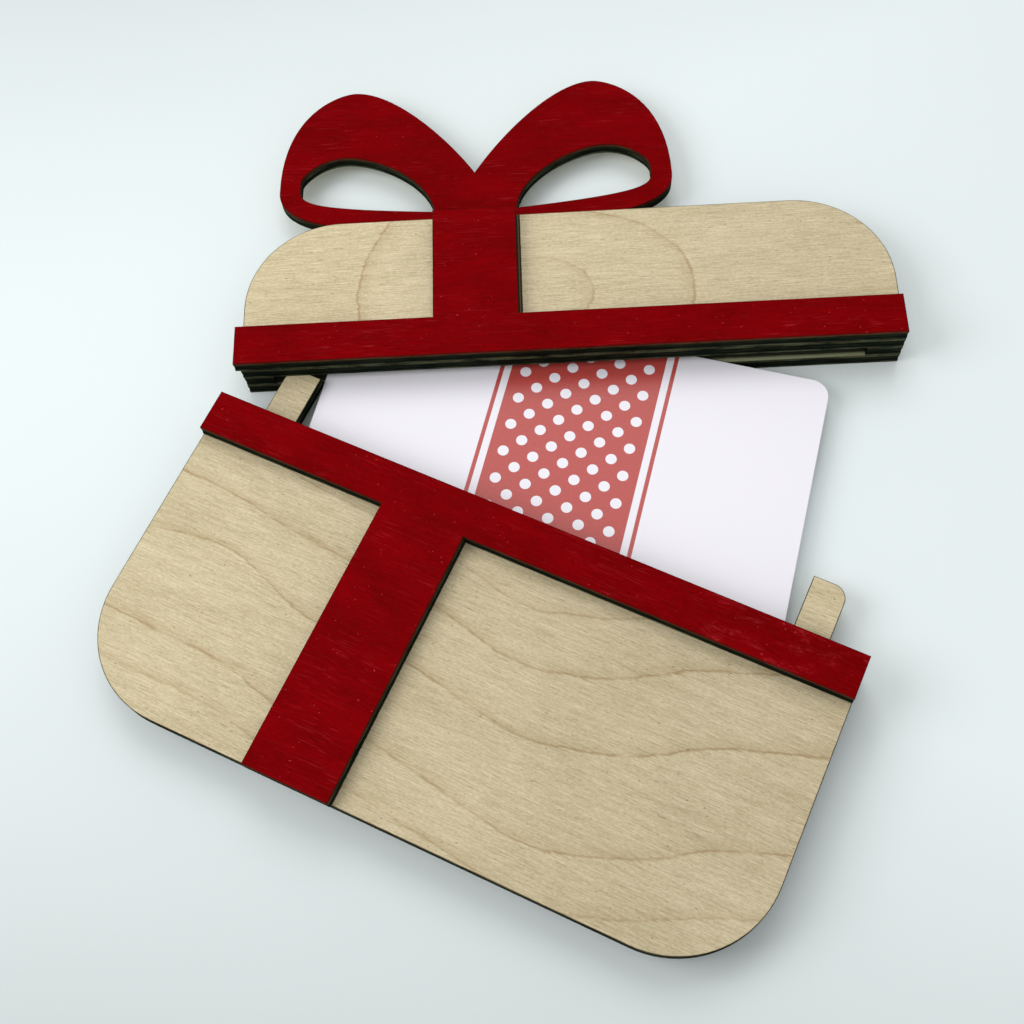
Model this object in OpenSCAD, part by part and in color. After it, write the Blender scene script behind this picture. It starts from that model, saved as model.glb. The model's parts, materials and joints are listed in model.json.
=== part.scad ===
// Gift card holder shaped like a wrapped present, in two flat halves of laser-cut plywood.
// Each half is four plywood layers: back panel, spacer, front panel and ribbon.
// The base lies square to X with its mating edge towards +Y, and its back face lies on z = 0.
// The origin is the centre of the base's back face.
// The lid lies opened beside the base, and the card hangs half out of both pockets.

/* [Plywood] */
// Thickness of each plywood layer
ply_t = 2.6; // [2:0.1:4]

/* [Gift card] */
// Width of the card
card_w = 85.6; // [80:0.2:92]
// Height of the card
card_h = 54; // [50:0.5:58]
// Thickness of the card
card_t = 0.8; // [0.3:0.1:1.2]
// Radius of the card's corners
card_r = 3.2; // [1:0.1:6]
// Length of card that stands out of the base when it is seated
card_show = 11; // [6:0.5:14]
// Room between the seated card and the pocket's floor
card_gap = 0.2; // [0.1:0.1:1]
// Room between the card and each side wall of the base's pocket
card_side_gap = 2.3; // [2.3:0.1:4]
// Room under the card
card_lift = 0.1; // [0.05:0.05:0.5]

/* [Base] */
// Height of wood below the base's pocket
base_rail_h = 11.2; // [6:0.2:18]
// Width of the prongs that guide the lid
prong_w = 6; // [4:0.2:9]
// Length of the prongs past the mating edge
prong_l = 11; // [5:0.5:11]
// Radius of each prong's outer corner
prong_r = 2.5; // [2.2:0.1:3.5]

/* [Lid] */
// Depth of the lid's pocket
lid_pocket_h = 21.5; // [20.5:0.5:30]
// Height of wood above the lid's pocket
lid_rail_h = 8; // [7:0.5:16]
// Width of the wood beside each prong
lid_wall_w = 6; // [5:0.2:10]
// Room between a prong and the lid's side wall
fit_gap = 0.35; // [0.35:0.05:0.8]

/* [Box outline] */
// Radius of the four outer corners
corner_r = 17; // [10:0.5:20]

/* [Ribbon] */
// Height of the red band along each mating edge
band_h = 7.4; // [4:0.2:12]
// Width of the upright ribbon
ribbon_w = 14.8; // [10:0.2:20]
// Distance of the upright ribbon's centre line from the middle of the box, to the left
ribbon_shift = 15.6; // [0:0.2:18]

/* [Bow] */
// Height of the notch between the loops, above the lid's top edge
notch_rise = 11.7; // [9:0.1:14]
// Height of each loop's crown, above the lid's top edge
crown_rise = 31.5; // [28:0.5:38]
// Distance of each loop's crown from the ribbon's centre line
crown_out = 22.5; // [20:0.5:26]
// Distance of each loop's side from the ribbon's centre line
side_out = 36.3; // [34:0.1:40]
// Height of the widest place on each loop, above the lid's top edge
side_rise = 9.3; // [7:0.1:12]
// Half the width of the bow's neck, where the two holes begin
neck_half = 7.5; // [5:0.1:9]
// Height of the strip below each hole, at the neck
strip_h = 3.4; // [2.5:0.1:5]
// Width of wood at each loop's side
loop_side_w = 3.9; // [3:0.1:6]
// Width of wood at each loop's crown
loop_crown_w = 15; // [10:0.5:17]
// Distance of each hole's crown outward of the loop's crown
hole_crown_shift = 1.7; // [0:0.1:3]
// Height of each hole's widest place above the loop's widest place
hole_side_lift = 2.2; // [0:0.1:3]
// Half the width of the foot that is glued into the lid
foot_half = 20; // [16:0.5:24]
// Depth of the foot below the lid's top edge
foot_h = 5; // [3:0.5:6]
// Room round the foot in its recess
foot_gap = 0.1; // [0.05:0.05:0.3]

/* [Arrangement] */
// Share of the way opened: 0 is closed with the card seated
opened = 1; // [0:0.1:1]
// Angle between the base and the fully opened lid
lid_angle = 26.5; // [20:0.5:28]
// Distance of the lid's turning point past the box's left side
lid_pivot_out = 11.8; // [10:0.1:16]
// Height of the lid's turning point above the mating edge
lid_pivot_rise = 0.8; // [0.4:0.1:1.4]
// Length of the card's left edge past the left prong's tip, when fully opened
card_drawn = 20; // [16:0.5:20]
// Room between the leaning card and what it leans on
card_lean_gap = 0.2; // [0.2:0.05:0.4]

/* [Hidden] */
$fn = 96;

// Layers, counted up from the table
BACK = 0;
MIDDLE = 1;
FRONT = 2;
TOP = 3;

// Number of short edges in each curve of the bow
curve_steps = 20;

// The pocket is as wide as the card and its side gaps, and leaves card_show of the card standing out
pocket_w = card_w + 2 * card_side_gap;
pocket_h = card_h - card_show + card_gap;
base_h = pocket_h + base_rail_h;
mating_y = base_h / 2;

// The lid's pocket takes the prongs as well as the card
lid_slot_w = pocket_w + 2 * (prong_w + fit_gap);
lid_h = lid_pocket_h + lid_rail_h;
box_w = lid_slot_w + 2 * lid_wall_w;

// Turning point of the lid, measured from the mating edge's middle
lid_pivot = [-box_w / 2 - lid_pivot_out, lid_pivot_rise];

// Fully opened, the card leans on the left prong's tip and on the pocket's right wall.
// The slant from its corner's round to the prong's tip sets how far it tips over.
lean_rise = card_h - card_drawn - card_r;
lean_run = card_w - card_r;
lean_span = pocket_w - 2 * card_lean_gap - card_r;
card_angle = atan2(lean_rise, lean_run) - acos(min(1, lean_span / norm([lean_run, lean_rise])));

// The card's top left corner moves from its seated place to its opened place about one point
prong_tip = [-pocket_w / 2 + card_lean_gap, prong_l];
corner_seated = [-card_w / 2, card_show];
corner_opened = prong_tip + card_drawn * [-sin(card_angle), cos(card_angle)];
card_pivot = turning_point(corner_seated, corner_opened, card_angle);

// Knots of the bow's right loop, measured from the ribbon's centre line and the lid's top edge.
// Each knot is [place, heading on arrival, heading on leaving, pull before it, pull after it].
outer_knots = [
    [[0, notch_rise], 58.5, 58.5, 0, 10.5],
    [[crown_out, crown_rise], 0, 0, 7, 3],
    [[side_out, side_rise], -90, -90, 18.5, 5.5],
    [[foot_half, 0], 190, 190, 9.5, 0]
];
hole_tip = [neck_half, strip_h];
hole_crown = [crown_out + hole_crown_shift, crown_rise - loop_crown_w];
hole_side = [side_out - loop_side_w, side_rise + hole_side_lift];
hole_knots = [
    [hole_tip, 184.6, 83, 27.5, 8],
    [hole_crown, 0, 0, 5.4, 4.9],
    [hole_side, -90, -90, 1.2, 4.3],
    [hole_tip, 184.6, 83, 27.5, 8]
];

// Point about which a turn of the given angle carries one place to another
function turning_point(from, to, angle) =
    (from + to) / 2 + [from[1] - to[1], to[0] - from[0]] / (2 * tan(angle / 2));

// Point at share u of the way along a cubic curve through control points p
function cubic(p, u) =
    pow(1 - u, 3) * p[0] + 3 * u * pow(1 - u, 2) * p[1] + 3 * u * u * (1 - u) * p[2] + pow(u, 3) * p[3];

// Unit step along a heading in degrees
function heading(a) = [cos(a), sin(a)];

// Control points of the curve that leaves knot a and arrives at knot b
function handles(a, b) = [a[0], a[0] + a[4] * heading(a[2]), b[0] - b[3] * heading(b[1]), b[0]];

// Points of the smooth line through a list of knots, the last one included
function smooth_line(knots) = [
    for (k = [0 : len(knots) - 2], i = [0 : curve_steps - 1])
        cubic(handles(knots[k], knots[k + 1]), i / curve_steps),
    knots[len(knots) - 1][0]
];

// Points reflected in the centre line, in reverse order, without the first one
function reflected(points) = [for (i = [len(points) - 1 : -1 : 1]) [-points[i][0], points[i][1]]];

// One plywood layer, cut from a flat outline
module layer(level) {
    translate([0, 0, level * ply_t]) linear_extrude(ply_t) children();
}

// Places a piece of the base: the mating edge's middle becomes the local origin
module on_base() {
    translate([0, mating_y, 0]) children();
}

// Turns a piece of a moving half about a point measured from the mating edge's middle
module turned_about(point, full_angle) {
    on_base() translate([point[0], point[1], 0]) rotate([0, 0, opened * full_angle])
        translate([-point[0], -point[1], 0]) children();
}

// Places a piece of the lid in its opened place
module on_lid() {
    turned_about(lid_pivot, lid_angle) children();
}

// Outline of one half of the box, h high, with its far corners rounded and its mating edge on y = 0
module half_outline(h) {
    intersection() {
        translate([-box_w / 2, 0]) square([box_w, h]);
        union() {
            translate([-box_w / 2, 0]) square([box_w, h - corner_r]);
            translate([-box_w / 2 + corner_r, 0]) square([box_w - 2 * corner_r, h]);
            for (side = [-1, 1])
                translate([side * (box_w / 2 - corner_r), h - corner_r]) circle(corner_r);
        }
    }
}

// The same outline pointing down, as the base lies
module base_outline() {
    mirror([0, 1]) half_outline(base_h);
}

// Guide prong on the right, rooted in the side wall, with its outer corner rounded
module prong() {
    root = prong_w;
    translate([pocket_w / 2, -root]) {
        square([prong_w, root + prong_l - prong_r]);
        square([prong_w - prong_r, root + prong_l]);
        translate([prong_w - prong_r, root + prong_l - prong_r]) circle(prong_r);
    }
}

// Rectangle centred on the ribbon's centre line, from y = 0 up
module on_ribbon_line(w, h) {
    translate([-ribbon_shift - w / 2, 0]) square([w, h]);
}

// Band along the mating edge and the upright ribbon, for a half of height h
module ribbon_outline(h) {
    translate([-box_w / 2, 0]) square([box_w, band_h]);
    on_ribbon_line(ribbon_w, h);
}

// Card with round corners, centred on x = 0 and standing on y = 0
module card_outline() {
    translate([-card_w / 2, card_r]) square([card_w, card_h - 2 * card_r]);
    translate([-card_w / 2 + card_r, 0]) square([card_w - 2 * card_r, card_h]);
    for (side = [-1, 1], end = [card_r, card_h - card_r])
        translate([side * (card_w / 2 - card_r), end]) circle(card_r);
}

// Solid outline of the whole bow: both loops and the foot
module bow_outline() {
    right_half = concat(smooth_line(outer_knots), [[foot_half, -foot_h], [0, -foot_h]]);
    polygon(concat(right_half, reflected(right_half)));
}

module bow_hole() {
    polygon(smooth_line(hole_knots));
}

module base_back_panel() {
    color("burlywood") on_base() layer(BACK) base_outline();
}

module base_spacer() {
    color("wheat") on_base() layer(MIDDLE) {
        difference() {
            base_outline();
            translate([-pocket_w / 2, -pocket_h]) square([pocket_w, 2 * pocket_h]);
        }
        prong();
        mirror([1, 0]) prong();
    }
}

module base_front_panel() {
    color("burlywood") on_base() layer(FRONT) base_outline();
}

module base_ribbon() {
    color("darkred") on_base() layer(TOP) mirror([0, 1]) ribbon_outline(base_h);
}

module gift_card() {
    color("ghostwhite") turned_about(card_pivot, card_angle)
        translate([0, card_show - card_h, ply_t + card_lift]) linear_extrude(card_t) card_outline();
}

module lid_back_panel() {
    color("burlywood") on_lid() layer(BACK) half_outline(lid_h);
}

module lid_spacer() {
    color("wheat") on_lid() layer(MIDDLE) difference() {
        half_outline(lid_h);
        translate([-lid_slot_w / 2, -lid_pocket_h]) square([lid_slot_w, 2 * lid_pocket_h]);
        translate([0, lid_h - foot_h - foot_gap]) on_ribbon_line(2 * (foot_half + foot_gap), lid_h);
    }
}

module bow() {
    color("firebrick") on_lid() layer(MIDDLE) translate([-ribbon_shift, lid_h]) difference() {
        bow_outline();
        bow_hole();
        mirror([1, 0]) bow_hole();
    }
}

module lid_front_panel() {
    color("burlywood") on_lid() layer(FRONT) half_outline(lid_h);
}

module lid_ribbon() {
    color("darkred") on_lid() layer(TOP) ribbon_outline(lid_h);
}

base_back_panel();
base_spacer();
base_front_panel();
base_ribbon();
gift_card();
lid_back_panel();
lid_spacer();
bow();
lid_front_panel();
lid_ribbon();
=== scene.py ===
"""Gift card holder of laser-cut birch plywood, with a red stained ribbon and bow and a printed card.

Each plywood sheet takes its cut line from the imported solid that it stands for. A Geometry Nodes tree
stacks the sheet's plies, and the materials draw the veneer, the stain and the burnt edges.
"""

import json
import math

import bmesh
import bpy
import numpy as np
from bpy.props import FloatProperty, FloatVectorProperty, IntProperty, PointerProperty
from mathutils import Euler, Matrix, Vector
from mathutils.geometry import delaunay_2d_cdt


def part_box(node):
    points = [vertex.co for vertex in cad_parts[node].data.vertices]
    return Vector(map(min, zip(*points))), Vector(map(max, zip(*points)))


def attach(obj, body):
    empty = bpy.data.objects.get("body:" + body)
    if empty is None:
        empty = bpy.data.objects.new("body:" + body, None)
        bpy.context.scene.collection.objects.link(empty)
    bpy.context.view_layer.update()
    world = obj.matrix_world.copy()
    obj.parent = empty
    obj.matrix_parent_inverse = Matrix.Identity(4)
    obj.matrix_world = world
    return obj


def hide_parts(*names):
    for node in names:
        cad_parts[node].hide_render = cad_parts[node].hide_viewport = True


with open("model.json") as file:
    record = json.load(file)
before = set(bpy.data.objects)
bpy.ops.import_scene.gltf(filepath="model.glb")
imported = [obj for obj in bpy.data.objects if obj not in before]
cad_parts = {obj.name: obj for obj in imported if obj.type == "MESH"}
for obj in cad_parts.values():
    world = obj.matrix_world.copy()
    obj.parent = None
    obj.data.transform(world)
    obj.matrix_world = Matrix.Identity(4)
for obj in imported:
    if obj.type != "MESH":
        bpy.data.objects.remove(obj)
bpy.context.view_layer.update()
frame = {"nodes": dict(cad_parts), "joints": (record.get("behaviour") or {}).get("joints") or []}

bl_info = {
    "name": "Plywood Gift Card Holder",
    "version": (1, 0, 0),
    "blender": (4, 5, 0),
    "location": "View3D > Sidebar > Card Holder",
    "description": "Dresses a gift card holder in birch plywood, red stain and printed plastic",
    "category": "Object",
}

MM = 0.001
# Points closer than this are one point
WELD = 1e-6
# A face looks up, or down, when its normal's upward part is beyond this
FACES_UP = 0.9

# -------- places taken from the frame

JOINTS = {joint["name"]: joint for joint in frame["joints"]}
BASE_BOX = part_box("base_back_panel")
MATING_Y = BASE_BOX[1].y
SHEET_THICKNESS = BASE_BOX[1].z - BASE_BOX[0].z


def opened_place(joint_name):
    """Where a moving half's own origin lies at rest, and the angle that it is turned by.

    A half's own frame has its origin at the middle of the mating edge, x along the edge and y across it.
    """
    joint = JOINTS[joint_name]
    pivot = Vector(joint["pos_m"])
    angle = -math.radians(min(joint["range_deg"]))
    turn = Matrix.Rotation(angle, 3, "Z")
    return pivot + turn @ (Vector((0, MATING_Y, 0)) - pivot), angle


BASE_PLACE = (Vector((0, MATING_Y, 0)), 0.0)
LID_PLACE = opened_place("lid_swing")
CARD_PLACE = opened_place("card_seat")

# Half width and depth of each half's pocket. Its walls stay true, so that the card and the prongs fit.
BASE_POCKET = (45.1 * MM, 43.2 * MM)
LID_POCKET = (51.45 * MM, 21.5 * MM)
# Width of wood beside a pocket over which the glue slip fades
POCKET_EASE = 3.0 * MM

# For each half: its place, the direction and the far and near ends that its sheets slip between when glued,
# and its pocket
HALVES = {
    "base": (BASE_PLACE, (0, 1), BASE_BOX[0].y - MATING_Y, 0.0, BASE_POCKET),
    "lid": (LID_PLACE, (1, 0), BASE_BOX[0].x, BASE_BOX[1].x, LID_POCKET),
}


# -------- settings


def colour_property(name, description, rgb):
    """Colour setting whose default is given as it looks on screen, from 0 to 255."""
    rgb = [linear(value) for value in rgb]
    return FloatVectorProperty(name=name, description=description, default=rgb, min=0, max=1, subtype="COLOR")


def linear(value):
    """Light level of a screen value from 0 to 255, by the usual screen curve."""
    share = value / 255
    return share / 12.92 if share <= 0.04045 else ((share + 0.055) / 1.055) ** 2.4


def length_property(name, description, millimetres):
    """Length setting whose default is given in millimetres."""
    kind = {"min": 0, "precision": 5, "subtype": "DISTANCE", "unit": "LENGTH"}
    return FloatProperty(name=name, description=description, default=millimetres * MM, **kind)


def power_property(name, description, watts):
    """Power setting of a light."""
    return FloatProperty(name=name, description=description, default=watts, subtype="POWER", unit="POWER")


class HolderSheetSettings(bpy.types.PropertyGroup):
    plies: IntProperty(name="Plies", description="Veneers glued into each sheet", default=3, min=1)
    edge_ease: length_property("Edge Ease", "Height of the small slope along each ply's cut edge", 0.07)
    groove_depth: length_property("Groove Depth", "Depth of the burnt groove along each glue line", 0.06)
    core_recess: length_property("Core Recess", "How much further the laser eats into the core ply", 0.05)
    scorch_width: length_property("Scorch Width", "Width of the singed line along each cut edge", 0.3)
    glue_slip: length_property("Glue Slip", "How far the sheets slid apart as they were glued", 0.33)
    outline_step: length_property("Outline Step", "Longest piece of cut line between two points", 1.5)
    field_step: length_property("Field Step", "Spacing of the points across a sheet's face", 4.0)


class HolderColours(bpy.types.PropertyGroup):
    birch: colour_property("Birch", "Bare veneer", (196, 183, 148))
    birch_pale: colour_property("Pale Birch", "Pale fibres in the veneer", (222, 208, 175))
    birch_deep: colour_property("Deep Birch", "Darker fibres in the veneer", (168, 153, 117))
    growth_line: colour_property("Growth Line", "Brown lines between growth rings", (152, 124, 82))
    pore: colour_property("Pore", "Short dark pores", (114, 100, 72))
    stain: colour_property("Stain", "Red stained veneer", (117, 0, 4))
    stain_bright: colour_property("Bright Stain", "Red where the stain is thin", (137, 0, 6))
    stain_deep: colour_property("Deep Stain", "Red where the stain is thick", (98, 0, 2))
    scuff: colour_property("Scuff", "Fine scratches through the stain", (196, 60, 66))
    # The char colour is also the colour of the painted shade deep in the lid's pocket
    char: colour_property("Char", "Blackest part of the laser-cut edge", (7, 14, 8))
    toasted: colour_property("Toasted", "Lighter lines in the laser-cut edge", (104, 112, 84))
    # Colour of the painted shade on the veneer just inside the lid's pocket
    pocket_shade: colour_property("Pocket_Shade", "Veneer just inside the lid's pocket", (120, 144, 109))
    # The rim colour is also the tan of the painted shade strip in the guide line beside the ribbon
    rim: colour_property("Rim", "Thin brown rim at the top of a cut edge", (112, 88, 56))
    card: colour_property("Card", "Card's white plastic", (240, 238, 245))
    card_print: colour_property("Card Print", "Muted red print on the card", (190, 74, 68))
    floor: colour_property("Floor", "Pale table", (235, 244, 244))


class HolderCardSettings(bpy.types.PropertyGroup):
    band_width: length_property("Band Width", "Width of the printed upright band", 26)
    dot_spacing: length_property("Dot Spacing", "Distance between two dots in a row", 5.2)
    dot_radius: length_property("Dot Radius", "Radius of each printed dot", 0.95)
    edge_ease: length_property("Edge Ease", "Rounding of the card's edge", 0.14)


class HolderStageSettings(bpy.types.PropertyGroup):
    camera_place: FloatVectorProperty(
        name="Camera Place", description="Where the camera stands", subtype="TRANSLATION", unit="LENGTH",
        default=(0.043728, -0.048825, 0.215296),
    )
    camera_turn: FloatVectorProperty(
        name="Camera Turn", description="How the camera is turned", subtype="EULER",
        default=[math.radians(angle) for angle in (23.2714, 2.8829, 24.9446)],
    )
    focal_length: FloatProperty(
        name="Focal Length", description="Focal length on a 36 mm sensor", subtype="DISTANCE_CAMERA",
        default=48.66,
    )
    left_power: power_property("Left Light", "Power of the near light at the left", 0.76)
    back_power: power_property("Back Light", "Power of the light beyond the holder", 1.92)
    front_power: power_property("Front Light", "Power of the light over the camera", 0.45)
    sky_strength: FloatProperty(name="Sky", description="Strength of the light from all round", default=0.535)


class HolderSettings(bpy.types.PropertyGroup):
    sheet: PointerProperty(type=HolderSheetSettings)
    colours: PointerProperty(type=HolderColours)
    card: PointerProperty(type=HolderCardSettings)
    stage: PointerProperty(type=HolderStageSettings)


# -------- sheet outlines


def cut_line(node):
    """The closed loops of a sheet's cut line, wood on the left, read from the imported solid's upper face."""
    solid = bmesh.new()
    solid.from_mesh(frame["nodes"][node].data)
    bmesh.ops.remove_doubles(solid, verts=solid.verts, dist=WELD)
    solid.normal_update()
    ahead = {}
    for face in solid.faces:
        if face.normal.z < FACES_UP:
            continue
        for corner in face.loops:
            others = [f for f in corner.edge.link_faces if f is not face]
            if not any(f.normal.z > FACES_UP for f in others):
                ahead[corner.vert.index] = corner.link_loop_next.vert.index
    place = {v.index: np.array(v.co.xy) for v in solid.verts}
    solid.free()
    loops = []
    while ahead:
        first = current = min(ahead)
        loop = []
        while current in ahead:
            loop.append(place[current])
            current = ahead.pop(current)
        if current != first:
            raise RuntimeError(f"the cut line of {node} is open")
        loops.append(np.array(loop))
    return loops


def spaced(loop, step):
    """The same closed loop with points added so that no piece is longer than step."""
    points = []
    for a, b in zip(loop, np.roll(loop, -1, axis=0)):
        count = max(1, math.ceil(np.linalg.norm(b - a) / step))
        points += [a + (b - a) * i / count for i in range(count)]
    return np.array(points)


# Keeps the move at a sharp corner from running away
LEAST_SPREAD = 0.3


def outward(loop):
    """At each point of a closed loop, the move away from the wood that shifts both edges there by one."""
    ahead = np.roll(loop, -1, axis=0) - loop
    ahead /= np.linalg.norm(ahead, axis=1)[:, None]
    normal = np.stack([ahead[:, 1], -ahead[:, 0]], axis=1)
    before = np.roll(normal, 1, axis=0)
    spread = 1 + (normal * before).sum(axis=1)
    return (normal + before) / np.maximum(spread, LEAST_SPREAD)[:, None]


def inside(points, loops):
    """Which points lie inside an odd number of the loops."""
    odd = np.zeros(len(points), bool)
    x, y = points[:, 0], points[:, 1]
    for loop in loops:
        for a, b in zip(loop, np.roll(loop, -1, axis=0)):
            straddles = (a[1] > y) != (b[1] > y)
            # A level edge is never straddled, so any rise will do there
            rise = (b[1] - a[1]) or 1.0
            odd ^= straddles & (x < a[0] + (y - a[1]) * (b[0] - a[0]) / rise)
    return odd


def drawn_in(loop, place, along, far, near, pocket, slip):
    """The loop with its far end drawn in by slip, and less so towards the near end, which stays.

    far and near are measured from the half's own origin along the direction along. The walls of the pocket
    stay too.
    """
    origin, angle = place
    ways = [np.array((Matrix.Rotation(angle, 2) @ Vector(way))[:]) for way in (along, (1, 0), (0, 1))]
    reach, x, y = ((loop - np.array(origin.xy[:])) @ way for way in ways)
    share = np.clip((near - reach) / (near - far), 0, 1)
    beside = np.hypot(np.maximum(abs(x) - pocket[0], 0), np.maximum(abs(y) - pocket[1], 0))
    share *= np.clip(beside / POCKET_EASE, 0, 1)
    return loop + slip * share[:, None] * ways[0]


# Rows of a triangular grid and the clear strip inside the last ring, as shares of the grid's step
ROW_SHARE = 0.866
CLEAR_SHARE = 0.3
# Tells the triangulation to keep what is inside the edges, and how close two points are one
KEEP_INSIDE = 1
SAME_POINT = 1e-9


def flat_sheet(name, node, step, field_step, rings, slip=None):
    """Flat triangle mesh inside a node's cut line, at the height of the node's underside.

    Each of the rings has its depth inside the cut and its rim value. The mesh carries two point attributes:
    outward, the way off the wood, and rim, from 1 at the cut to 0.
    """
    loops = [spaced(loop, step) for loop in cut_line(node)]
    if slip:
        loops = [drawn_in(loop, *slip) for loop in loops]
    places, edges, rim, away = [], [], [], []
    for depth, share in rings:
        for loop in loops:
            first = len(places)
            move = outward(loop)
            places += list(loop - depth * move)
            edges += [(first + i, first + (i + 1) % len(loop)) for i in range(len(loop))]
            rim += [share] * len(loop)
            away += list(move) if depth == 0 else [(0, 0)] * len(loop)
    core = [loop - (rings[-1][0] + CLEAR_SHARE * field_step) * outward(loop) for loop in loops]
    low, high = loops[0].min(axis=0), loops[0].max(axis=0)
    field = [
        (x, y)
        for j, y in enumerate(np.arange(low[1], high[1], field_step * ROW_SHARE))
        for x in np.arange(low[0] + (j % 2) * field_step / 2, high[0], field_step)
    ]
    field = np.array(field)[inside(np.array(field), core)]
    places += list(field)
    rim += [0] * len(field)
    away += [(0, 0)] * len(field)
    found = delaunay_2d_cdt([Vector(p) for p in places], edges, [], KEEP_INSIDE, SAME_POINT)
    if len(found[0]) != len(places):
        raise RuntimeError(f"the rings along the cut line of {node} cross")
    flat = np.array([tuple(p) for p in found[0]])
    source = [ids[0] for ids in found[3]]
    triangles = np.array(found[2])
    triangles = triangles[inside(flat[triangles].mean(axis=1), loops)]
    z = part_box(node)[0].z
    mesh = bpy.data.meshes.new(name)
    mesh.from_pydata([(p[0], p[1], z) for p in flat], [], triangles.tolist())
    for attribute, kind, part, values in (
        ("rim", "FLOAT", "value", [rim[i] for i in source]),
        ("outward", "FLOAT_VECTOR", "vector", [(*away[i], 0) for i in source]),
    ):
        data = mesh.attributes.new(attribute, kind, "POINT").data
        data.foreach_set(part, np.array(values, float).ravel())
    mesh.validate()
    piece = bpy.data.objects.new(name, mesh)
    bpy.context.scene.collection.objects.link(piece)
    return piece


# -------- the plywood tree


class NodeHand:
    """Adds nodes to a tree and joins them. An input is named or numbered, and takes a value or an output."""

    def __init__(self, tree):
        self.tree = tree

    def add(self, kind, inputs=(), **settings):
        """New node with the given settings and inputs."""
        node = self.tree.nodes.new(kind)
        for key, value in settings.items():
            setattr(node, key, value)
        for key, value in dict(inputs).items():
            if isinstance(value, bpy.types.NodeSocket):
                self.tree.links.new(value, node.inputs[key])
            else:
                node.inputs[key].default_value = value
        return node

    def sum(self, operation, *values):
        """One arithmetic step on numbers."""
        return self.add("ShaderNodeMath", enumerate(values), operation=operation).outputs[0]


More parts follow.
